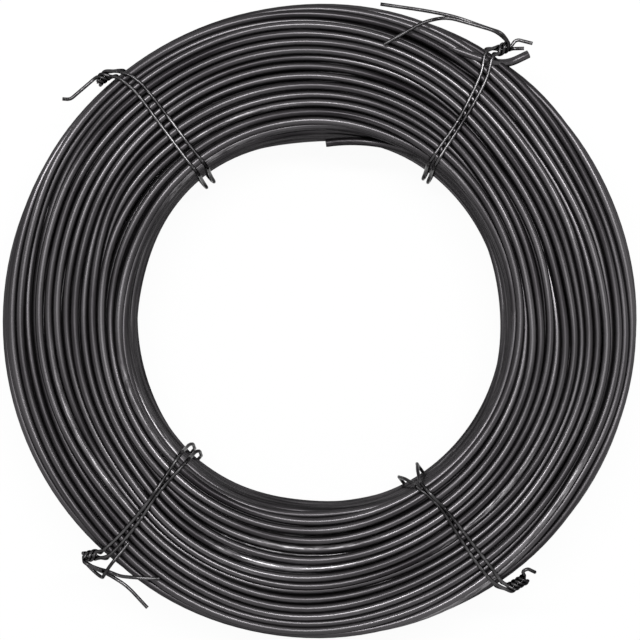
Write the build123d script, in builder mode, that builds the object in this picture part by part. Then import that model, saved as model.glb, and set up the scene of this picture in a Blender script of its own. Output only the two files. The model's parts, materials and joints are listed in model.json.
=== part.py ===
from build123d import *
import os
from math import cos, radians, sin, tan

# A coil of black annealed steel wire lying flat, its axis along +Z, held by four ties of thinner wire.
# The origin is on the axis, on the floor that the ties rest on.

# The wire and the ring that it is wound into
wire_diameter = 3.4
coil_diameter = 263.0
winding_depth = 52.2  # from the rim in to the bore
coil_height = 48.0
outer_edge_radius = 7.0  # rounding of the ring's two outer edges
bore_edge_radius = 5.0  # rounding of the ring's two edges at the bore
turn_gap = 0.3  # clear space between neighbouring turns
groove_depth_share = 0.36  # depth of the grooves between turns, as a share of the wire
groove_place_share = 0.5  # of the way from one turn to the next, where the groove between them is deepest

# The wire's free end at the rim: degrees round the coil, then shares of the ring's radius
rim_end_shares = ((60.5, 0.951), (56.2, 0.971), (53.9, 1.003), (51.9, 1.068))
rim_end_height_share = 0.83  # it comes out of the groove nearest to this height

# The wire's free end in the bore: degrees round the coil, then shares of the bore's radius
bore_end_shares = ((45.0, 1.053), (66.0, 1.002), (88.0, 0.937))
bore_end_height_share = 0.74

# The tie wire and its knots, which lie at the rim
tie_diameter = 1.45
tie_clearance = 0.15  # between a tie and the ring, and between the strands of a knot
knot_pitch = 8.0  # length of one full turn of a knot's four legs about its axis
knot_rise = 6.0  # from where the lower legs leave the rim up to the knot's axis
strand_reach = 5.0  # of the upper legs beyond the face of the ring, over its rounded edge
twist_radius_share = 1.06  # distance of the legs from their axis, as a share of their spacing
twist_bends = 6  # bends in one full turn of a twist
bend_share = 0.45  # of the shorter run beside a bend, taken up by the bend

# Angles round a knot's axis at which its legs start, for each strand the upper leg first
leg_start_angles = ((45, 315), (135, 225))

# Each tie has two strands side by side, whose four legs make one knot beside the second strand. A tie gives
# the strands' angles at the rim and at the bore, the way that its knot lies round the rim, the knot's start
# (a share of the strands' spacing, and an angle up round the ring's rounded edge), how far off the ring it
# starts (in strands), its direction (along the rim, outward, up) and its length in bends. The tails of the
# upper and lower legs follow, as degrees from the tie and shares of the coil's radius and height.
ties = {
    "tie_upper_right": {
        "strand_angles": ((58.5, 56.2), (56.9, 54.1)),
        "bow_share": 0.02,
        "knot_way_sign": -1,
        "knot_start_share": 0.6,
        "knot_start_angle": 30,
        "knot_strand_count": 0,
        "knot_axis_shares": (0.50, 0.85, 0.10),
        "knot_bend_count": 4,
        "upper_tail_shares": (
            ((-4.6, 1.062, 1.00),),
            ((-2.6, 1.075, 0.93), (-5.2, 1.092, 0.97)),
        ),
        "lower_tail_shares": (
            (
                (0.8, 1.052, 1.09),
                (5.0, 1.035, 1.08),
                (9.6, 1.022, 1.07),
                (13.0, 0.982, 1.10),
                (19.1, 0.882, 1.06),
            ),
            (
                (0.0, 1.068, 0.92),
                (3.2, 1.052, 0.96),
                (8.2, 1.040, 0.98),
                (13.2, 1.024, 0.98),
                (21.4, 1.008, 0.96),
            ),
        ),
    },
    "tie_upper_left": {
        "strand_angles": ((128.0, 126.2), (129.6, 129.4)),
        "bow_share": 0.02,
        "knot_way_sign": 1,
        "knot_start_share": 1.5,
        "knot_start_angle": 18,
        "knot_strand_count": 0,
        "knot_axis_shares": (0.95, 0.05, 0.10),
        "knot_bend_count": 4,
        "upper_tail_shares": ((), ()),
        "lower_tail_shares": ((), ((9.6, 1.044, 0.93), (10.4, 1.062, 0.95))),
    },
    "tie_lower_left": {
        "strand_angles": ((228.2, 227.0), (226.7, 223.2)),
        "bow_share": 0.015,
        "knot_way_sign": -1,
        "knot_start_share": 0.5,
        "knot_start_angle": 33,
        "knot_strand_count": 0,
        "knot_axis_shares": (0.56, 0.83, 0.05),
        "knot_bend_count": 4,
        "upper_tail_shares": (
            (),
            (
                (-2.0, 1.058, 0.87),
                (0.6, 1.064, 0.82),
                (2.4, 1.056, 0.91),
                (2.3, 1.040, 1.03),
                (2.0, 1.000, 1.09),
                (1.9, 0.910, 1.05),
            ),
        ),
        "lower_tail_shares": (
            (
                (-1.6, 1.046, 1.10),
                (0.6, 1.034, 1.06),
                (2.6, 1.022, 0.98),
                (4.6, 1.010, 1.01),
                (7.6, 0.975, 1.06),
                (10.7, 0.944, 1.04),
            ),
            ((0.3, 1.046, 0.95), (2.8, 1.034, 0.92), (6.5, 1.026, 0.93), (11.6, 1.049, 0.92)),
        ),
    },
    "tie_lower_right": {
        "strand_angles": ((303.6, 300.6), (304.8, 303.4)),
        "bow_share": 0.055,
        "knot_way_sign": 1,
        "knot_start_share": 0.9,
        "knot_start_angle": 24,
        "knot_strand_count": 1,
        "knot_axis_shares": (0.95, 0.05, 0.10),
        "knot_bend_count": 6,
        "upper_tail_shares": ((), ((4.8, 1.003, 1.04), (5.8, 1.006, 1.05), (6.4, 1.034, 0.98))),
        "lower_tail_shares": ((), ()),
    },
}

# What is worked out from these sizes
wire_radius = wire_diameter / 2
coil_radius = coil_diameter / 2
bore_radius = coil_radius - winding_depth
tie_radius = tie_diameter / 2
underside = tie_diameter + tie_clearance
upper_end = underside + coil_height
mid_height = underside + coil_height / 2
ring_middle = (coil_radius + bore_radius) / 2
turn_pitch = wire_diameter + turn_gap
groove_depth = groove_depth_share * wire_diameter
strand_gap = tie_diameter + tie_clearance
strand_offset = tie_radius + tie_clearance
strand_outside = coil_radius + strand_offset
strand_inside = bore_radius - strand_offset
strand_above = upper_end + strand_offset
strand_below = tie_radius
twist_radius = twist_radius_share * strand_gap
twist_bend_radius = twist_radius / cos(radians(180 / twist_bends))
edge_radius = coil_radius - outer_edge_radius  # the ring's rounded upper edge turns about this circle
edge_height = upper_end - outer_edge_radius

os.makedirs("parts", exist_ok=True)


def around(angle, radius, height):
    """The point at an angle round the coil's axis, in degrees, and at a radius and a height."""
    return Vector(radius * cos(radians(angle)), radius * sin(radians(angle)), height)


def on_ring(angle, radius_share, height_share):
    """The point at shares of the coil's radius and of the ring's height."""
    return around(angle, radius_share * coil_radius, underside + height_share * coil_height)


def bend_radii(points, set_radii=()):
    """A radius for each bend of a route: the one that is set, or as large as its two runs allow."""
    runs = [(end - start).length for start, end in zip(points, points[1:])]
    corners = zip(points, points[1:], points[2:])
    slopes = [tan(radians((corner - start).get_angle(end - corner)) / 2) for start, corner, end in corners]
    set_radii = set_radii or [0] * len(slopes)
    taken = [0] + [radius * slope for radius, slope in zip(set_radii, slopes)] + [0]
    radii = []
    for bend, slope in enumerate(slopes):
        room = min(runs[bend] - taken[bend], runs[bend + 1] - taken[bend + 2])
        radii.append(set_radii[bend] or bend_share * room / slope)
    return radii


def nearest_height(places, radius, height_share):
    """The height of the place in the ring's section nearest to a radius and a share of its height."""
    wanted = Vector(radius, underside + height_share * coil_height)
    return min(places, key=lambda place: (place - wanted).length).Y


def twist_leg(start, axes, start_angle, bend_count):
    """The bends of one leg of a knot, as it winds about the knot's axis."""
    along, out, up = axes
    points = []
    for bend in range(bend_count + 1):
        angle = radians(start_angle - 360 * bend / twist_bends)
        across = out * cos(angle) + up * sin(angle)
        points.append(start + along * (bend * knot_pitch / twist_bends) + across * twist_bend_radius)
    return points


def tie_route(tie, strand):
    """The route of one of a tie's two wires, from tail to tail, with the radius of each bend."""
    rim_angles = [rim_angle for rim_angle, bore_angle in tie["strand_angles"]]
    tie_angle = sum(rim_angles) / len(rim_angles)
    way = tie["knot_way_sign"]
    start_angle = radians(tie["knot_start_angle"])
    off_edge = outer_edge_radius + strand_offset + tie["knot_strand_count"] * strand_gap + twist_bend_radius
    start_radius = edge_radius + off_edge * cos(start_angle)
    start_height = edge_height + off_edge * sin(start_angle)

    rim_way = around(rim_angles[-1] + 90, way, 0)
    outward = around(rim_angles[-1], 1, 0)
    rim_share, out_share, up_share = tie["knot_axis_shares"]
    along = (rim_way * rim_share + outward * out_share + Vector(0, 0, up_share)).normalized()
    out = (outward - along * outward.dot(along)).normalized()
    axes = (along, out, out.cross(along) * way)
    start = around(rim_angles[-1], start_radius, start_height)
    start += rim_way * (tie["knot_start_share"] * strand_gap)

    rim_angle, bore_angle = tie["strand_angles"][strand]
    upper_angle, lower_angle = leg_start_angles[strand]
    upper_leg = twist_leg(start, axes, upper_angle, tie["knot_bend_count"])
    lower_leg = twist_leg(start, axes, lower_angle, tie["knot_bend_count"])
    upper_leg += [on_ring(tie_angle + turn, *shares) for turn, *shares in tie["upper_tail_shares"][strand]]
    lower_leg += [on_ring(tie_angle + turn, *shares) for turn, *shares in tie["lower_tail_shares"][strand]]
    wrap = [
        around(rim_angle, edge_radius + strand_reach, strand_above),
        around(bore_angle, strand_inside, strand_above),
        around(bore_angle, strand_inside - tie["bow_share"] * bore_radius, mid_height),
        around(bore_angle, strand_inside, strand_below),
        around(rim_angle, strand_outside, strand_below),
        around(rim_angle, strand_outside, start_height - knot_rise),
    ]
    outer_bend = outer_edge_radius + strand_offset
    bore_bend = bore_edge_radius + strand_offset
    wrap_radii = [0, bore_bend, 0, bore_bend, outer_bend, 0]
    points = upper_leg[::-1] + wrap + lower_leg
    set_radii = [0] * len(upper_leg) + wrap_radii + [0] * len(lower_leg)
    return points, bend_radii(points, set_radii[1:-1])


# The ring, turned from the section that its outer turns make, with both free ends of the wire
with BuildPart() as wire_coil:
    with BuildSketch(Plane.XZ, mode=Mode.PRIVATE) as envelope:
        with Locations((ring_middle, mid_height)):
            Rectangle(winding_depth, coil_height)
        fillet(envelope.vertices().group_by(Axis.X)[0], bore_edge_radius)
        fillet(envelope.vertices().group_by(Axis.X)[-1], outer_edge_radius)
    with BuildSketch(Plane.XZ, mode=Mode.PRIVATE) as centres:
        add(envelope.sketch_local)
        offset(amount=-wire_radius, mode=Mode.REPLACE)
    centre_line = centres.sketch_local.face().outer_wire()
    turn_count = round(centre_line.length / turn_pitch)
    turn_places = [centre_line @ (turn / turn_count) for turn in range(turn_count)]
    grooves = [centre_line @ ((turn + groove_place_share) / turn_count) for turn in range(turn_count)]
    with BuildSketch(Plane.XZ):
        add(envelope.sketch_local)
        offset(amount=-groove_depth, mode=Mode.REPLACE)
        with Locations(*turn_places):
            Circle(wire_radius)
    revolve(axis=Axis.Z)

    rim_end_height = nearest_height(grooves, coil_radius, rim_end_height_share)
    rim_end_points = [around(turn, share * coil_radius, rim_end_height) for turn, share in rim_end_shares]
    with BuildLine() as rim_end_route:
        FilletPolyline(*rim_end_points, radius=bend_radii(rim_end_points))
    with BuildSketch(Plane(rim_end_route.line @ 0, z_dir=rim_end_route.line % 0)):
        Circle(wire_radius)
    sweep(path=rim_end_route.line)

    bore_end_height = nearest_height(grooves, bore_radius, bore_end_height_share)
    bore_end_points = [around(turn, share * bore_radius, bore_end_height) for turn, share in bore_end_shares]
    with BuildLine() as bore_end_route:
        ThreePointArc(*bore_end_points)
    with BuildSketch(Plane(bore_end_route.line @ 0, z_dir=bore_end_route.line % 0)):
        Circle(wire_radius)
    sweep(path=bore_end_route.line)

wire_coil.part.label = "wire_coil"
export_step(wire_coil.part, "parts/wire_coil.step")

# The ties: two wires each, taken round the ring side by side, their legs twisted into one knot
for tie_name, tie in ties.items():
    with BuildPart() as wire_tie:
        for strand in range(len(tie["strand_angles"])):
            points, radii = tie_route(tie, strand)
            with BuildLine() as route:
                FilletPolyline(*points, radius=radii)
            with BuildSketch(Plane(route.line @ 0, z_dir=route.line % 0)):
                Circle(tie_radius)
            sweep(path=route.line)
            length = route.wire().length
            print(tie_name, "wire", round(length, 1), "mm, least bend", round(min(radii), 2), "mm")
    wire_tie.part.label = tie_name
    export_step(wire_tie.part, f"parts/{tie_name}.step")
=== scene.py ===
# %% [markdown]
# # A coil of black annealed wire
# The object is a hank of soft steel wire, wound flat into a ring and held by four ties of thinner wire.
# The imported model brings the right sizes: a ring with its turns in relief, and the ties bent to their knots.
# What it can't show is that no two turns lie alike, so this lesson winds the ring again, turn by turn, and
# gives both wires the dark, satin skin that annealing leaves on steel.

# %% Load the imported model
import json
from math import atan2, cos, pi, radians, sin, tan

import bmesh
import bpy
import numpy as np
from mathutils import Matrix, Vector


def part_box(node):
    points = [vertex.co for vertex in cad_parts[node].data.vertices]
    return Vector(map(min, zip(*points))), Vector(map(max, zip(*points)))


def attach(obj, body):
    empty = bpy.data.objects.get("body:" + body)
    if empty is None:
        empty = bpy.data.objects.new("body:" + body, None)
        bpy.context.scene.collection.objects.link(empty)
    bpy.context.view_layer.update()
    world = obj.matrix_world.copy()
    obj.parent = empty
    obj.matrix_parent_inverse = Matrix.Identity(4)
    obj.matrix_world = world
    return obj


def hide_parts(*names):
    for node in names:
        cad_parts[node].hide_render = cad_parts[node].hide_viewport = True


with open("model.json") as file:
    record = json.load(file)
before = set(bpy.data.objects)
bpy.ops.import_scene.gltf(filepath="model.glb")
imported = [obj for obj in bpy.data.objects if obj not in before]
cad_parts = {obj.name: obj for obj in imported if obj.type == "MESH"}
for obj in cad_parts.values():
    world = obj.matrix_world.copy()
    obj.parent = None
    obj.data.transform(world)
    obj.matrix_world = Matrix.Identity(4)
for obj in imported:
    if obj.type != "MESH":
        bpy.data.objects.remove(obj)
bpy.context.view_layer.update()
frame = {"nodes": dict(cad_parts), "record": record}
ring_low, ring_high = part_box("wire_coil")
print("nodes:", ", ".join(sorted(frame["nodes"])))

# %% [markdown]
# ## The view
# The picture looks straight down on the coil from less than a metre away, so a strip of the bore's wall
# shows inside the upper edge. The ring fills the frame. A camera's lens is a ratio of distance to width, so
# it follows from the height of the camera and from how much of the frame's width the ring takes.

# %% Camera
frame_pixels = 640
ring_pixels = 635.6
camera_height = 0.780
camera_aside = (0.0002, 0.0003)
rim_height = 0.043
sensor_width = 0.036

ring_diameter = ring_high.x - ring_low.x
width_in_view = ring_diameter * frame_pixels / ring_pixels
view_camera = bpy.data.cameras.new("view_camera")
view_camera.sensor_width = 1000 * sensor_width
view_camera.lens = 1000 * sensor_width * (camera_height - rim_height) / width_in_view
camera = bpy.data.objects.new("view_camera", view_camera)
camera.location = (*camera_aside, camera_height)
bpy.context.scene.collection.objects.link(camera)
bpy.context.scene.camera = camera
print("lens", round(view_camera.lens, 1), "mm")

# %% [markdown]
# ## Where the turns lie
# A machine winds such a coil turn on turn, and the loose ring then slumps: some turns stand proud, others
# slip between their neighbours, and the whole bundle twists a little like a rope. One way to get that is a
# physical simulation of all 140 metres of wire. Here a rule is enough. The outer turns go once round the
# ring's section, side by side. Each has a depth that changes slowly along the wire, and two neighbours
# of different depth can sit closer together, because two round wires that touch are always one diameter
# apart. So the depths give the gaps, and the gaps, added up, give the places.

# %% Section of the ring
wire_diameter = 0.0034
winding_depth = 0.0522
rim_rounding = 0.007
bore_rounding = 0.005
corner_points = 16

wire_radius = wire_diameter / 2
ring_radius = ring_diameter / 2
bore_radius = ring_radius - winding_depth
middle_radius = (ring_radius + bore_radius) / 2

# The centres of the outer turns lie on a rounded rectangle, which starts at the bore, goes out over the
# upper face, down the rim, in along the underside and up the bore. Its four corners are quarter circles.
corners = (
    (bore_radius + bore_rounding, ring_high.z - bore_rounding, bore_rounding),
    (ring_radius - rim_rounding, ring_high.z - rim_rounding, rim_rounding),
    (ring_radius - rim_rounding, ring_low.z + rim_rounding, rim_rounding),
    (bore_radius + bore_rounding, ring_low.z + bore_rounding, bore_rounding),
)
section_line = []
for quarter, (radius, height, rounding) in enumerate(corners):
    reach = rounding - wire_radius
    for angle in np.radians(np.linspace(180, 90, corner_points) - 90 * quarter):
        section_line.append((radius + reach * cos(angle), height + reach * sin(angle)))
section_line = np.array(section_line + section_line[:1])
section_steps = np.linalg.norm(np.diff(section_line, axis=0), axis=1)
section_way = np.concatenate([[0.0], np.cumsum(section_steps)])
girth = section_way[-1]
print("way round the section", round(1000 * girth, 1), "mm, room for", int(girth / wire_diameter), "turns")


# %% Places in the section
run_reach = 0.4 * wire_diameter


def section_point(way):
    """Radius and height on the line of the outer turns, from the way round the section."""
    return np.array([np.interp(way % girth, section_way, section_line[:, axis]) for axis in (0, 1)])


def section_run(way):
    """Direction in which that line runs: outwards on the upper face, down the rim, up the bore."""
    run = section_point(way + run_reach) - section_point(way - run_reach)
    return run / np.linalg.norm(run, axis=0)


def section_place(way, depth):
    """Radius and height of a turn's centre, from its way round the section and its depth in it."""
    place, run = section_point(way), section_run(way)
    return place[0] + depth * run[1], place[1] - depth * run[0]


def way_on_face(radius):
    """Way round the section to a radius on the upper face."""
    upper = slice(0, 2 * corner_points)
    return np.interp(radius, section_line[upper, 0], section_way[upper])


print("the upper face takes", round(1000 * way_on_face(ring_radius), 1), "mm of that way")

# %% [markdown]
# ## Slow wandering
# A wire that was once bent can't turn sharply, so whatever differs along it differs slowly. Random numbers
# at every step would give a shiver instead. Blurring them along the wire with a bell curve keeps them random
# and makes them as slow as the curve is wide, and a fixed seed makes every run wind the same coil.

# %% Wandering numbers
turn_steps = 144
coil_seed = 7
turn_degrees = np.linspace(0.0, 360.0, turn_steps + 1)
numbers = np.random.default_rng(coil_seed)


def blur_round(values, reach_degrees):
    """Numbers along a closed row of steps, each blurred with those beside it."""
    apart = np.arange(values.size)
    apart = np.minimum(apart, values.size - apart) * 360 / turn_steps
    blur = np.exp(-0.5 * (apart / reach_degrees) ** 2)
    return np.fft.irfft(np.fft.rfft(values) * np.fft.rfft(blur / blur.sum()), values.size)


def slow_wander(turns, reach_degrees):
    """Random numbers along a wire of many turns, with a spread of one. The last column of each turn is the
    first of the next, because the wire goes on."""
    smooth = blur_round(numbers.normal(size=turns * turn_steps), reach_degrees)
    grid = (smooth / smooth.std()).reshape(turns, turn_steps)
    return np.column_stack([grid, np.roll(grid[:, 0], -1)])


print("a step along the rim is", round(1000 * 2 * pi * ring_radius / turn_steps, 1), "mm")


# %% How neighbours settle
kink_reach = 7.0


def ease_kinks(grid, reach_degrees):
    """The same numbers along the wire, without kinks that stiff wire can't follow."""
    turns = len(grid)
    gain = grid[-1, -1] - grid[0, 0]
    rise = gain * np.arange(turns * turn_steps) / (turns * turn_steps)
    row = blur_round(grid[:, :-1].ravel() - rise, reach_degrees) + rise
    ends = np.append(row[turn_steps::turn_steps], row[0] + gain)
    return np.column_stack([row.reshape(turns, turn_steps), ends])


def lay_turns(depths, slack, drift):
    """Way round the section of every turn at every angle, from the depths, the spare room between
    neighbours, and the drift of the whole bundle, counted in turns."""
    difference = np.roll(depths, -1, axis=0) - depths
    touching = np.sqrt(np.maximum(wire_diameter ** 2 - difference ** 2, (wire_diameter / 2) ** 2))
    spare = girth - touching.sum(axis=0)
    gaps = touching + slack * spare / slack.sum(axis=0)
    ways = np.cumsum(gaps, axis=0) - gaps
    print("spare room between turns", round(1000 * spare.min(), 1), "to", round(1000 * spare.max(), 1), "mm")
    return ease_kinks(ways + drift * gaps[0, 0], kink_reach)


# %% Twist of the bundle
# Once round the coil, the wire has moved on by one turn, but not evenly: the ties hold it back.
drift_degrees = (0, 30, 75, 120, 180, 230, 272, 298, 330, 360)
drift_turns = (0.0, 0.1, 1.9, 2.2, 2.0, 2.3, 2.3, 1.1, 0.9, 1.0)
drift_blur = 14
gone_round = turn_degrees[:-1] / 360
ahead = blur_round(np.interp(turn_degrees[:-1], drift_degrees, drift_turns) - gone_round, drift_blur)
drift = np.append(gone_round + ahead, 1 + ahead[0])
print("the bundle drifts by", round(drift.min(), 2), "to", round(drift.max(), 2), "turns")

# %% Depths of the outer turns
# A sway is slow and a ripple quick. A slip is where a turn has dropped between its neighbours, and it comes
# where a wandering number passes its start. Reaches are degrees along the wire.
outer_turns = 53
sway_depth, sway_reach, mean_sway = 0.0014, 32.0, 0.3
ripple_depth, ripple_reach = 0.0003, 13.0
slip_depth, slip_reach = 0.95 * wire_diameter, 34.0
slip_start, slip_span = 0.9, 0.7
slack_reach, least_slack = 25.0, 0.3
rim_looseness = 0.2
bore_looseness = 0.75


def smooth_step(values):
    """From zero to one without corners, as the values go from zero to one."""
    inside = np.clip(values, 0.0, 1.0)
    return inside ** 2 * (3 - 2 * inside)


sway = slow_wander(outer_turns, sway_reach)
ripple = slow_wander(outer_turns, ripple_reach)
slip = smooth_step((slow_wander(outer_turns, slip_reach) - slip_start) / slip_span)
slack = least_slack + slow_wander(outer_turns, slack_reach) ** 2
depths = np.maximum(sway_depth * (mean_sway + sway) + ripple_depth * ripple, 0.0) + slip_depth * slip
outer_ways = lay_turns(depths, slack, drift)

# The winder presses the turns against its walls, so they lie more evenly there, most of all at the rim.
run_up = section_run(outer_ways)[1]
on_bore = np.clip(run_up, 0.0, 1.0)
on_rim = np.clip(-run_up, 0.0, 1.0)
depths = depths * (1 - (1 - bore_looseness) * on_bore ** 2 - (1 - rim_looseness) * on_rim ** 2)
print("turns lie up to", round(1000 * depths.max(), 2), "mm deep")

# %% Furrows and bulges
# A furrow is where turns have dropped: from and to degrees round the coil, and radius on the face.
# A bulge is where the bore's wall has crept inwards between two ties, most at its foot: degrees, half width,
# and how far. Single turns jut out further there.
furrows = ((-30, 52, 0.1255), (262, 290, 0.1025), (52, 84, 0.101), (198, 232, 0.099), (268, 290, 0.127),
           (34, 72, 0.1285))
furrow_fade = 16
furrow_width = wire_diameter / 2
bulges = ((92, 33, 0.0024), (176, 44, 0.0005), (265, 34, 0.0010), (359, 49, 0.0004))
jut_depth, jut_reach, most_jut = 0.0012, 20.0, 2.0

for start, end, radius in furrows:
    past_start = (turn_degrees - start) % 360
    inside = np.clip(np.minimum(past_start, end - start - past_start) / furrow_fade, 0.0, 1.0)
    aside = (outer_ways - way_on_face(radius)) / furrow_width
    depths = np.maximum(depths, slip_depth * inside * np.exp(-aside ** 2))
at_foot = (ring_high.z - section_point(outer_ways)[1]) / (ring_high.z - ring_low.z)
jut = np.clip(slow_wander(outer_turns, jut_reach), 0.0, most_jut)
for middle, half_width, crept in bulges:
    from_middle = np.abs((turn_degrees - middle + 180) % 360 - 180)
    share = np.clip(from_middle / half_width, 0.0, 1.0)
    depths = depths - np.cos(share * pi / 2) ** 2 * on_bore * (crept * at_foot + jut_depth * jut)
depths = ease_kinks(depths, kink_reach)
outer_ways = lay_turns(depths, slack, drift)
outer_radii, outer_heights = section_place(outer_ways, depths)
print("radii", round(1000 * outer_radii.min(), 2), "to", round(1000 * outer_radii.max(), 2), "mm")
print("heights", round(1000 * outer_heights.min(), 2), "to", round(1000 * outer_heights.max(), 2), "mm")

# %% [markdown]
# ## Winding the wire
# The wire is one long round bar, which could be a curve with a bevel. A mesh is better here, because every
# vertex can keep how far along the wire it lies, and the skin's marks can then follow the wire. Spinning a
# column of circles by one full turn while it rises by one pitch makes all turns of a spring at once, since
# the end of each turn meets the start of the next. The spring's rings then move to their places on the coil.


# %% Spring
spring_pitch = 1.2 * wire_diameter


def spin_spring(name, turns, sides):
    """A spring of even turns: a column of circles is spun once round while it rises by one pitch."""
    bm = bmesh.new()
    upright = Matrix.Rotation(pi / 2, 4, "X")
    for turn in range(turns):
        place = Matrix.Translation((middle_radius, 0.0, turn * spring_pitch)) @ upright
        bmesh.ops.create_circle(bm, segments=sides, radius=wire_radius, matrix=place)
    bmesh.ops.spin(
        bm, geom=bm.verts[:] + bm.edges[:], cent=(0, 0, 0), axis=(0, 0, 1), angle=2 * pi,
        dvec=(0, 0, spring_pitch / turn_steps), steps=turn_steps, use_merge=False,
    )
    bmesh.ops.remove_doubles(bm, verts=bm.verts, dist=wire_diameter / 100)
    mesh = bpy.data.meshes.new(name)
    bm.to_mesh(mesh)
    bm.free()
    print(name, "is a spring of", turns, "turns")
    return mesh


# %% Rings to their places
def settle_spring(mesh, radii, heights):
    """Every ring of the spring moves to its place on the coil, and keeps how far along the wire it is."""
    points = np.empty(3 * len(mesh.vertices))
    mesh.vertices.foreach_get("co", points)
    points = points.reshape(-1, 3)
    angle = np.arctan2(points[:, 1], points[:, 0]) % (2 * pi)
    step = np.rint(angle / (2 * pi) * turn_steps).astype(int)
    level = points[:, 2] - step * spring_pitch / turn_steps
    turn = np.rint(level / spring_pitch).astype(int)
    outward = np.hypot(points[:, 0], points[:, 1]) - middle_radius
    upward = level - turn * spring_pitch
    along = (turn + step / turn_steps) * 2 * pi * middle_radius
    turn = turn % len(radii)
    radius = radii[turn, step] + outward
    moved = np.column_stack([radius * np.cos(angle), radius * np.sin(angle), heights[turn, step] + upward])
    mesh.vertices.foreach_set("co", moved.ravel())
    lay = mesh.attributes.new("lay", "FLOAT_VECTOR", "POINT")
    lay.data.foreach_set("vector", np.column_stack([outward, upward, along]).ravel())
    print(mesh.name, "holds", round(along.max(), 1), "metres of wire")


# %% Wire from the spring
def wind_wire(name, radii, heights, sides):
    """A wire wound in many turns, closed where its last turn meets the first."""
    mesh = spin_spring(name, len(radii), sides)
    settle_spring(mesh, radii, heights)
    bm = bmesh.new()
    bm.from_mesh(mesh)
    bmesh.ops.remove_doubles(bm, verts=bm.verts, dist=wire_diameter / 1000)
    bmesh.ops.recalc_face_normals(bm, faces=bm.faces)
    for face in bm.faces:
        face.smooth = True
    open_edges = sum(len(edge.link_faces) != 2 for edge in bm.edges)
    bm.to_mesh(mesh)
    bm.free()
    wire = bpy.data.objects.new(name, mesh)
    bpy.context.scene.collection.objects.link(wire)
    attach(wire, "root")
    print(name, "has", len(mesh.polygons), "faces and", open_edges, "open edges")
    return wire


outer_sides = 12
outer_wire = wind_wire("outer_turns", outer_radii, outer_heights, outer_sides)
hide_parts("wire_coil")

# %% [markdown]
# ## Turns underneath
# Between the outer turns the eye looks into the coil, and there are more turns there. Modelling all of the
# two hundred would be wasted, because light hardly reaches the third layer. One more layer, laid by the same
# rule a turn and a half deep, closes the view. Few sides are enough in its shade.

# %% Second layer
under_turns = 49
under_sides = 8
under_depth = 1.45 * wire_diameter
under_reach = 30.0
least_under_slack = 0.5

under_depths = under_depth + ripple_depth * slow_wander(under_turns, under_reach)
under_slack = least_under_slack + slow_wander(under_turns, slack_reach) ** 2
under_ways = lay_turns(under_depths, under_slack, np.linspace(0.0, 1.0, turn_steps + 1))
under_radii, under_heights = section_place(under_ways, under_depths)
under_wire = wind_wire("turns_underneath", under_radii, under_heights, under_sides)

# %% [markdown]
# ## Free ends
# A coil of one wire has two ends. The outer one comes up beside the upper right tie, goes under it and is
# bent out past the rim, and the inner one springs away from the bore's wall. An end could be a curve with a
# bevel, but a bent wire is straight runs and round bends, so extrude and spin draw it as a bender would: a
# circle is pushed straight on, turned about the middle of the bend, and pushed on again.


# %% Straight runs and bends
eased_edge = 0.15 * wire_radius
eased_steps = 2


def around(degrees, radius, height):
    """The point at an angle round the coil, a radius and a height."""
    return Vector((radius * cos(radians(degrees)), radius * sin(radians(degrees)), height))


def last_ring(geometry):
    """The ring of vertices and edges that an extrusion or a spin has just made."""
    verts = [part for part in geometry if isinstance(part, bmesh.types.BMVert)]
    edges = [part for part in geometry if isinstance(part, bmesh.types.BMEdge)]
    return verts, [edge for edge in edges if all(vert in verts for vert in edge.verts)]


def start_wire(bm, place, heading, sides):
    """The first cross-section of a wire, square to its heading."""
    square = Matrix.Translation(place) @ heading.to_track_quat("Z", "Y").to_matrix().to_4x4()
    made = bmesh.ops.create_circle(bm, segments=sides, radius=wire_radius, cap_ends=True, matrix=square)
    return made["verts"], list({edge for vert in made["verts"] for edge in vert.link_edges})


def draw_on(bm, ring, move):
    """The wire goes on straight."""
    verts, edges = last_ring(bmesh.ops.extrude_edge_only(bm, edges=ring[1])["geom"])
    bmesh.ops.translate(bm, verts=verts, vec=move)
    return verts, edges


def bend_on(bm, ring, centre, axis, angle, steps):
    """The wire goes on round a bend."""
    spun = bmesh.ops.spin(
        bm, geom=ring[0] + ring[1], cent=centre, axis=axis, angle=angle, dvec=(0, 0, 0),
        steps=steps, use_merge=False,
    )
    return last_ring(spun["geom_last"])


def finish_wire(bm, ring, name, heading, mark):
    """The cut end is closed, its edge is eased, and the wire becomes a piece that knows how it was drawn.
    The mark is where its skin starts along the wire."""
    cut = bmesh.ops.edgeloop_fill(bm, edges=ring[1])["faces"]
    bmesh.ops.bevel(
        bm, geom=list(cut[0].edges), affect="EDGES", offset=eased_edge, segments=eased_steps, profile=0.5,
        material=-1,
    )
    bmesh.ops.recalc_face_normals(bm, faces=bm.faces)
    for face in bm.faces:
        face.smooth = len(face.verts) == 4
    mesh = bpy.data.meshes.new(name)
    bm.to_mesh(mesh)
    bm.free()
    lay = mesh.attributes.new("lay", "FLOAT_VECTOR", "POINT")
    aside = heading.cross((0, 0, 1)).normalized()
    for vert, note in zip(mesh.vertices, lay.data):
        note.vector = (vert.co.dot(aside), vert.co.z, mark + vert.co.dot(heading))
    wire_end = bpy.data.objects.new(name, mesh)
    bpy.context.scene.collection.objects.link(wire_end)
    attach(wire_end, "root")
    print(name, "has", len(mesh.polygons), "faces")
    return wire_end


# %% End at the rim
# The way out of the coil, as degrees, share of the ring's radius, and how far above the cut end it is.
rim_end_route = ((68.0, 0.950, 0.0019), (61.5, 0.952, 0.0054), (56.6, 0.969, 0.0050), (53.7, 1.004, 0.0),
                 (51.9, 1.068, 0.0))
bend_share = 0.45
end_sides = 20
end_bend_steps = 8
rim_end_mark = 0.3

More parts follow.
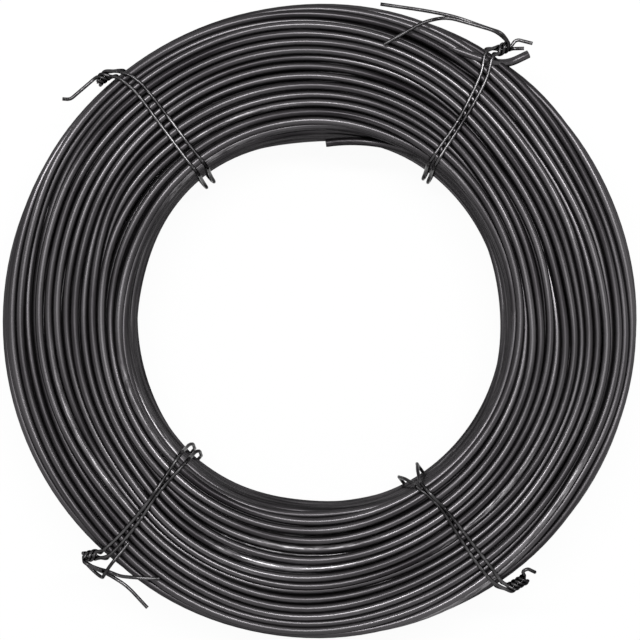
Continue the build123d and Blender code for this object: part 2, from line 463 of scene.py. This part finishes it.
rim_mount = next(mount for mount in frame["record"]["mounts"] if mount["name"] == "rim_end")
cut_height = rim_mount["pos_m"][2]
stops = [around(turn, share * ring_radius, cut_height + rise) for turn, share, rise in rim_end_route]
runs = [end - start for start, end in zip(stops, stops[1:])]
bm = bmesh.new()
ring = start_wire(bm, stops[0], runs[0].normalized(), end_sides)
place = stops[0]
for corner, before, after in zip(stops[1:], runs, runs[1:]):
    turning = before.angle(after)
    axis = before.cross(after).normalized()
    cut = bend_share * min(before.length, after.length)
    bend_start = corner - before.normalized() * cut
    centre = bend_start + axis.cross(before.normalized()) * (cut / tan(turning / 2))
    ring = draw_on(bm, ring, bend_start - place)
    ring = bend_on(bm, ring, centre, axis, turning, end_bend_steps)
    place = corner + after.normalized() * cut
ring = draw_on(bm, ring, stops[-1] - place)
rim_end = finish_wire(bm, ring, "rim_end", runs[-1].normalized(), rim_end_mark)

# %% End in the bore
# This end is one long bend through three points, about the middle of the circle that they lie on.
bore_end_shares = ((45.0, 1.053), (66.0, 1.002), (88.0, 0.937))
bore_end_height = 0.03526
bore_bend_steps = 24
bore_end_mark = 0.0

first, middle, last = [around(turn, share * bore_radius, bore_end_height) for turn, share in bore_end_shares]
first_half, second_half = (first + middle) / 2, (middle + last) / 2
reach = (second_half - first_half).dot(last - middle) / (middle - first).cross(last - middle).z
centre = first_half + Vector((first.y - middle.y, middle.x - first.x, 0)) * reach
heading = Vector((centre.y - first.y, first.x - centre.x, 0)).normalized()
bm = bmesh.new()
ring = start_wire(bm, first, heading, end_sides)
ring = bend_on(bm, ring, centre, (0, 0, 1), (first - centre).angle(last - centre), bore_bend_steps)
bore_end = finish_wire(bm, ring, "bore_end", (last - first).normalized(), bore_end_mark)

# %% [markdown]
# ## Ties
# Each tie is two strands of thinner wire, pulled round the coil and twisted into a knot with pliers. The
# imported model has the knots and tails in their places, but its strands run as straight as rulers. Real ones
# bow, lean on each other and slant down the bore. Modelling them again would lose the fit of the knots, so a
# copy of each packed tie is cut across into short lengths, and these are pushed aside.

# %% How the strands lie
# Each strand has its degrees at the rim and at the bore, and then in millimetres its bow at even steps from
# the bore to the rim, how far it slants aside on the bore's wall, and how high it hops over its neighbour.
millimetre = 0.001
tie_radius = 0.000725
tie_clearance = 0.00015
strand_rim_radius = 0.1295
strand_bore_radius = bore_radius - tie_radius - tie_clearance
strands = {
    "tie_upper_right": (
        (58.5, 56.2, (-1.4, -2.0, -3.1, -3.8, -3.7, -3.5, -2.8, 0.0), -3.2, 0.0),
        (56.9, 54.1, (-1.2, -1.3, -2.0, -2.5, -2.8, -2.8, -2.3, 0.0), -2.9, 0.0),
    ),
    "tie_upper_left": (
        (128.0, 126.2, (0.0, -0.2, -0.6, -1.1, -1.5, -1.9, -2.0, 0.0), 1.9, 0.0),
        (129.6, 129.4, (0.2, 0.1, -0.3, -0.7, -1.1, -1.6, -1.7, 0.0), 1.4, 0.0),
    ),
    "tie_lower_left": (
        (228.2, 227.0, (-0.5, -0.8, -1.3, -1.0, 0.1, 0.5, 0.6, 0.0), 2.4, 0.0),
        (226.7, 223.2, (0.6, 1.2, 1.7, 2.2, 2.3, 2.0, 1.5, 0.0), 3.4, 1.8),
    ),
    "tie_lower_right": (
        (303.6, 300.6, (-0.6, 1.6, 1.9, 1.2, 0.4, -0.2, -0.5, 0.0), -4.6, 0.0),
        (304.8, 303.4, (-2.0, -1.3, -0.2, 0.0, 0.0, 0.1, 0.4, 0.0), 1.2, 1.7),
    ),
}
print("strands to bow:", sum(len(pair) for pair in strands.values()))

# %% How the ties lie
# A hop has its middle and its half width, as shares of the way from the bore to the rim. On the bore's wall
# the strands of a tie lean into the eye by so many millimetres, most at one height, and they slant aside
# between two heights.
no_hop_shares = (0.5, 1.0)
hop_shares = {"tie_lower_left": (0.38, 0.11), "tie_lower_right": (0.12, 0.075)}
wall_leans = {
    "tie_upper_right": (2.5, 0.014), "tie_upper_left": (2.5, 0.014),
    "tie_lower_left": (1.8, 0.020), "tie_lower_right": (1.5, 0.014),
}
slant_heights = {
    "tie_upper_right": (0.006, 0.045), "tie_upper_left": (0.006, 0.045),
    "tie_lower_left": (0.008, 0.026), "tie_lower_right": (0.020, 0.047),
}
print("ties with a strand that hops:", ", ".join(hop_shares))

# %% Pushing a strand aside
# Shares are of the way from the bore to the rim. A strand's own points lie within a half width of its line.
eye_share = -0.12
wall_share = 0.2
slant_end_share = 0.5
wall_half_width = 1.9 * tie_radius
face_half_width = 1.5 * tie_radius
face_start = 0.040
face_fade = 0.006
lean_fade = 0.009
curve_shares = np.linspace(-0.2, 1.2, 281)
bell_steps = 8
bell = np.exp(-0.5 * (np.arange(-3 * bell_steps, 3 * bell_steps + 1) / bell_steps) ** 2)


def soft_curve(shares, values):
    """The values at any share, with the corners between them rounded off."""
    rough = np.interp(curve_shares, np.linspace(0.0, 1.0, len(values)), values)
    soft = np.convolve(np.pad(rough, len(bell) // 2, mode="edge"), bell / bell.sum(), mode="valid")
    return np.interp(shares, curve_shares, soft)


def push_strand(points, name, strand):
    """Points of one strand move aside: on the face by its bow, on the bore's wall by its slant and lean."""
    rim_degrees, bore_degrees, bow, slant, hop = strand
    start = np.array(around(bore_degrees, strand_bore_radius, 0.0))
    end = np.array(around(rim_degrees, strand_rim_radius, 0.0))
    length = np.linalg.norm(end - start)
    outward = (end - start) / length
    aside = np.array((-outward[1], outward[0], 0.0))
    share = (points - start) @ outward / length
    height = points[:, 2]
    on_wall = share < wall_share
    half_width = np.where(on_wall, wall_half_width, face_half_width)
    mine = (np.abs((points - start) @ aside) < half_width) & (share > eye_share) & (share < 1.0)
    on_top = smooth_step((height - face_start) / face_fade)
    slanted = np.interp(height, slant_heights[name], (slant, bow[0]))
    slanted = slanted * (1 - smooth_step(share / slant_end_share))
    push = on_top * soft_curve(share, bow) + (1 - on_top) * slanted
    lean_reach, lean_height = wall_leans[name]
    lean = lean_reach * np.exp(-((height - lean_height) / lean_fade) ** 2) * on_wall
    hop_share, hop_width_share = hop_shares.get(name, no_hop_shares)
    rise = hop * np.exp(-((share - hop_share) / hop_width_share) ** 2) * on_top
    moves = np.outer(push, aside) - np.outer(lean, outward) + np.outer(rise, (0.0, 0.0, 1.0))
    return np.where(mine[:, None], moves * millimetre, 0.0)


print("a bow is worked out at", len(curve_shares), "places")


# %% Ties pulled tight
cut_steps = 30
wall_steps = 14
merge_reach = tie_radius / 500
sharp_angle = radians(40)
up = Vector((0, 0, 1))


def cut_across(bm, place, facing):
    """A cut right through, which adds vertices and leaves both sides joined."""
    whole = bm.verts[:] + bm.edges[:] + bm.faces[:]
    bmesh.ops.bisect_plane(bm, geom=whole, dist=merge_reach, plane_co=place, plane_no=facing)


tie_pieces = []
for name, pair in strands.items():
    bm = bmesh.new()
    bm.from_mesh(frame["nodes"][name].data)
    bmesh.ops.remove_doubles(bm, verts=bm.verts, dist=merge_reach)
    bmesh.ops.recalc_face_normals(bm, faces=bm.faces)
    rim_degrees = sum(strand[0] for strand in pair) / len(pair)
    outward = around(rim_degrees, 1.0, 0.0)
    for reach in np.linspace(strand_bore_radius, strand_rim_radius, cut_steps):
        cut_across(bm, outward * reach, outward)
    for height in np.linspace(ring_low.z, ring_high.z, wall_steps):
        cut_across(bm, up * height, up)
    points = np.array([vert.co for vert in bm.verts])
    moves = sum(push_strand(points, name, strand) for strand in pair)
    for vert, move in zip(bm.verts, moves):
        vert.co += Vector(move)
    for face in bm.faces:
        face.smooth = True
    for edge in bm.edges:
        edge.smooth = edge.calc_face_angle(0.0) < sharp_angle
    mesh = bpy.data.meshes.new(name + "_pulled_tight")
    bm.to_mesh(mesh)
    bm.free()
    tie_piece = bpy.data.objects.new(mesh.name, mesh)
    bpy.context.scene.collection.objects.link(tie_piece)
    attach(tie_piece, "root")
    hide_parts(name)
    tie_pieces.append(tie_piece)
    print(mesh.name, "has", len(mesh.polygons), "faces")

# %% [markdown]
# ## Skin of the coiled wire
# Annealing heats the drawn wire and cools it slowly, which makes it soft and leaves a thin black scale.
# A photograph could be wrapped round it, but a procedural skin stays sharp at any size. It reads the lay
# that the winding has kept, so that draw lines run along the wire, and patches from the furnace and rubbed
# places follow one turn and not its neighbours.


# %% Colours and nodes
tone_places = (0.36, 0.66)


def linear(hex_colour):
    """A colour written as sRGB hex, as the linear numbers that shaders take."""
    parts = [int(hex_colour[place:place + 2], 16) / 255 for place in (1, 3, 5)]
    return [part / 12.92 if part <= 0.04045 else ((part + 0.055) / 1.055) ** 2.4 for part in parts] + [1.0]


def add_node(tree, kind, settings=(), values=(), links=()):
    """A node with its settings, the values of its inputs and the links into them."""
    node = tree.nodes.new(kind)
    for name, value in dict(settings).items():
        setattr(node, name, value)
    for socket, value in dict(values).items():
        node.inputs[socket].default_value = value
    for socket, source in dict(links).items():
        tree.links.new(source, node.inputs[socket])
    return node


def add_tones(tree, fac, dark, pale):
    """A blend from a dark colour to a pale one over the middle of a noise's range."""
    tones = add_node(tree, "ShaderNodeValToRGB", links={"Fac": fac})
    for element, position, colour in zip(tones.color_ramp.elements, tone_places, (dark, pale)):
        element.position = position
        element.color = linear(colour)
    return tones


print("black scale is", [round(part, 3) for part in linear("#201e20")[:3]], "in linear numbers")

# %% Draw lines and furnace patches
# To the eye, black annealed steel is a dark metal with a satin sheen, streaked along the wire where the die
# scraped it. Real draw lines are finer than a tenth of a millimetre, so they are drawn wider here to show.
draw_line_width = 0.0006
draw_line_length = 0.030
patch_length = 0.120
across_wire = 60.0

wire_skin = bpy.data.materials.new("black_annealed_steel")
wire_skin.use_nodes = True
tree = wire_skin.node_tree
lay = add_node(tree, "ShaderNodeAttribute", {"attribute_name": "lay"})
drawn = add_node(
    tree, "ShaderNodeMapping",
    values={"Scale": (1 / draw_line_width, 1 / draw_line_width, 1 / draw_line_length)},
    links={"Vector": lay.outputs["Vector"]},
)
draw_lines = add_node(
    tree, "ShaderNodeTexNoise", values={"Scale": 1.0, "Detail": 3.0, "Roughness": 0.6},
    links={"Vector": drawn.outputs["Vector"]},
)
heated = add_node(
    tree, "ShaderNodeMapping", values={"Scale": (across_wire, across_wire, 1 / patch_length)},
    links={"Vector": lay.outputs["Vector"]},
)
patches = add_node(
    tree, "ShaderNodeTexNoise", values={"Scale": 1.0, "Detail": 2.0},
    links={"Vector": heated.outputs["Vector"]},
)
print(wire_skin.name, "has draw lines", 1000 * draw_line_width, "mm wide")

# %% Rubbed places
# Where turns slid over each other, the scale is torn and bare steel shows as pale short scratches.
scratch_length = 0.009
rubbed_every = 0.160
rubbed_shift = 31.0

scratched = add_node(
    tree, "ShaderNodeMapping",
    values={"Scale": (1 / draw_line_width, 1 / draw_line_width, 1 / scratch_length)},
    links={"Vector": lay.outputs["Vector"]},
)
scratches = add_node(
    tree, "ShaderNodeTexNoise", values={"Scale": 1.0, "Detail": 4.0, "Roughness": 0.7},
    links={"Vector": scratched.outputs["Vector"]},
)
torn = add_node(
    tree, "ShaderNodeMapRange", values={"From Min": 0.45, "From Max": 0.60},
    links={"Value": scratches.outputs["Fac"]},
)
spread = add_node(
    tree, "ShaderNodeMapping",
    values={"Location": (0.0, 0.0, rubbed_shift), "Scale": (across_wire, across_wire, 1 / rubbed_every)},
    links={"Vector": lay.outputs["Vector"]},
)
where = add_node(
    tree, "ShaderNodeTexNoise", values={"Scale": 1.0, "Detail": 1.0},
    links={"Vector": spread.outputs["Vector"]},
)
rare = add_node(
    tree, "ShaderNodeMapRange", values={"From Min": 0.62, "From Max": 0.70},
    links={"Value": where.outputs["Fac"]},
)
scuffs = add_node(
    tree, "ShaderNodeMath", {"operation": "MULTIPLY"},
    links={0: rare.outputs["Result"], 1: torn.outputs["Result"]},
)
print("rubbed places come about every", 1000 * rubbed_every, "mm")

# %% Tone, sheen and relief of the wire
draw_line_share = 0.3
metal_share = 0.85

scale_blend = add_node(
    tree, "ShaderNodeMix", {"data_type": "FLOAT"}, {"Factor": draw_line_share},
    {"A": patches.outputs["Fac"], "B": draw_lines.outputs["Fac"]},
)
scale_tone = add_tones(tree, scale_blend.outputs["Result"], "#201e20", "#5a585a")
skin_tone = add_node(
    tree, "ShaderNodeMix", {"data_type": "RGBA"}, {7: linear("#8e8c8e")},
    {0: scuffs.outputs[0], 6: scale_tone.outputs["Color"]},
)
sheen = add_node(
    tree, "ShaderNodeMapRange",
    values={"From Min": 0.36, "From Max": 0.64, "To Min": 0.38, "To Max": 0.17},
    links={"Value": scale_blend.outputs["Result"]},
)
relief = add_node(
    tree, "ShaderNodeBump", values={"Strength": 0.3, "Distance": draw_line_width / 12},
    links={"Height": draw_lines.outputs["Fac"]},
)
shader = tree.nodes["Principled BSDF"]
shader.inputs["Metallic"].default_value = metal_share
shader.inputs["Specular Tint"].default_value = linear("#8c8c8c")
tree.links.new(skin_tone.outputs[2], shader.inputs["Base Color"])
tree.links.new(sheen.outputs["Result"], shader.inputs["Roughness"])
tree.links.new(relief.outputs["Normal"], shader.inputs["Normal"])
for piece in (outer_wire, under_wire, rim_end, bore_end):
    piece.data.materials.append(wire_skin)
    print(piece.name, "has the skin", wire_skin.name)

# %% [markdown]
# ## Skin of the tie wire
# The ties are thinner wire of the same kind, oiled against rust and handled more, since each is pulled round
# the coil and twisted by hand with pliers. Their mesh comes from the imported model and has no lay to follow,
# so this skin reads Object coordinates, which are metres from the middle of the coil.

# %% Oiled tie wire
# To the eye it is darker than the coil, with a wet gleam along each strand, mottled by oil, and with small
# pale marks left by the pliers.
mottle_size = 0.009
mark_size = 0.0015

tie_skin = bpy.data.materials.new("oiled_tying_wire")
tie_skin.use_nodes = True
tree = tie_skin.node_tree
spot = add_node(tree, "ShaderNodeTexCoord")
mottle = add_node(
    tree, "ShaderNodeTexNoise", values={"Scale": 1 / mottle_size, "Detail": 3.0},
    links={"Vector": spot.outputs["Object"]},
)
marks = add_node(
    tree, "ShaderNodeTexNoise", values={"Scale": 1 / mark_size, "Detail": 3.0, "Roughness": 0.6},
    links={"Vector": spot.outputs["Object"]},
)
bare = add_node(
    tree, "ShaderNodeMapRange", values={"From Min": 0.62, "From Max": 0.74},
    links={"Value": marks.outputs["Fac"]},
)
oil_tone = add_tones(tree, mottle.outputs["Fac"], "#201f20", "#545354")
tie_tone = add_node(
    tree, "ShaderNodeMix", {"data_type": "RGBA"}, {7: linear("#7c7a7c")},
    {0: bare.outputs["Result"], 6: oil_tone.outputs["Color"]},
)
gleam = add_node(
    tree, "ShaderNodeMapRange",
    values={"From Min": 0.36, "From Max": 0.64, "To Min": 0.28, "To Max": 0.14},
    links={"Value": mottle.outputs["Fac"]},
)
dents = add_node(
    tree, "ShaderNodeBump", values={"Strength": 0.3, "Distance": mark_size / 40},
    links={"Height": marks.outputs["Fac"]},
)
shader = tree.nodes["Principled BSDF"]
shader.inputs["Metallic"].default_value = 1.0
shader.inputs["Specular Tint"].default_value = linear("#a4a4a4")
tree.links.new(tie_tone.outputs[2], shader.inputs["Base Color"])
tree.links.new(gleam.outputs["Result"], shader.inputs["Roughness"])
tree.links.new(dents.outputs["Normal"], shader.inputs["Normal"])
for tie_piece in tie_pieces:
    tie_piece.data.materials.append(tie_skin)
    print(tie_piece.name, "has the skin", tie_skin.name)

# %% [markdown]
# ## Floor
# The coil lies on white paper that is lit until hardly any shadow is left. More light on the paper would
# also light the coil, so the paper gives most of its white as a glow that only the camera and mirror-like
# reflections see. The rest is plain paper, which keeps a trace of the coil's shadow.

# %% White paper
paper_size = 3.0
glow_share = 0.95

bm = bmesh.new()
bmesh.ops.create_grid(bm, x_segments=1, y_segments=1, size=paper_size)
floor_mesh = bpy.data.meshes.new("floor")
bm.to_mesh(floor_mesh)
bm.free()
floor = bpy.data.objects.new("floor", floor_mesh)
bpy.context.scene.collection.objects.link(floor)

floor_paper = bpy.data.materials.new("white_paper")
floor_paper.use_nodes = True
tree = floor_paper.node_tree
paper = tree.nodes["Principled BSDF"]
paper.inputs["Base Color"].default_value = linear("#f4f4f4")
paper.inputs["Roughness"].default_value = 0.9
glow = add_node(tree, "ShaderNodeEmission", values={"Color": linear("#ffffff"), "Strength": 1.0})
light_path = add_node(tree, "ShaderNodeLightPath")
seen = add_node(
    tree, "ShaderNodeMath", {"operation": "MAXIMUM"},
    links={0: light_path.outputs["Is Camera Ray"], 1: light_path.outputs["Is Glossy Ray"]},
)
share = add_node(tree, "ShaderNodeMath", {"operation": "MULTIPLY"}, {1: glow_share}, {0: seen.outputs[0]})
both = add_node(
    tree, "ShaderNodeMixShader", links={0: share.outputs[0], 1: paper.outputs[0], 2: glow.outputs[0]},
)
tree.links.new(both.outputs[0], tree.nodes["Material Output"].inputs["Surface"])
floor_mesh.materials.append(floor_paper)
print("the paper is", paper_size * 2, "metres wide")

# %% [markdown]
# ## Light
# On a dark metal the eye sees what the metal reflects, so the light is drawn as shapes. A broad softbox
# right above gives every turn a wide dim sheen. A long narrow strip beside it adds the thin bright line,
# strongest where a turn runs along the strip and weaker at the sides. The world is a white room, bright for
# the camera and for reflections and dimmer as a source of light.

# %% White room
room_light = 0.35
world = bpy.data.worlds.new("studio")
bpy.context.scene.world = world
world.use_nodes = True
tree = world.node_tree
light_path = add_node(tree, "ShaderNodeLightPath")
seen = add_node(
    tree, "ShaderNodeMath", {"operation": "MAXIMUM"},
    links={0: light_path.outputs["Is Camera Ray"], 1: light_path.outputs["Is Glossy Ray"]},
)
seen = add_node(
    tree, "ShaderNodeMath", {"operation": "MAXIMUM"},
    links={0: seen.outputs[0], 1: light_path.outputs["Is Transmission Ray"]},
)
level = add_node(
    tree, "ShaderNodeMapRange", values={"To Min": room_light, "To Max": 1.0},
    links={"Value": seen.outputs[0]},
)
backdrop = tree.nodes["Background"]
backdrop.inputs["Color"].default_value = linear("#ffffff")
tree.links.new(level.outputs["Result"], backdrop.inputs["Strength"])
print("the room gives", room_light, "of its brightness as light")


# %% Softboxes
def hang_softbox(name, place, width, length, watts):
    """A lamp behind a rectangle of diffusing cloth, turned to face the middle of the coil."""
    lamp = bpy.data.lights.new(name, "AREA")
    lamp.shape = "RECTANGLE"
    lamp.size = width
    lamp.size_y = length
    lamp.energy = watts
    softbox = bpy.data.objects.new(name, lamp)
    softbox.location = place
    softbox.rotation_euler = (-atan2(place[1], place[2]), 0.0, 0.0)
    bpy.context.scene.collection.objects.link(softbox)
    print(name, "gives", watts, "watts")


hang_softbox("overhead_softbox", place=(0.0, 0.08, 1.2), width=0.8, length=0.5, watts=2.5)
hang_softbox("strip_light", place=(0.0, 0.28, 1.1), width=1.0, length=0.12, watts=10.8)
bpy.context.scene.view_settings.view_transform = "Standard"
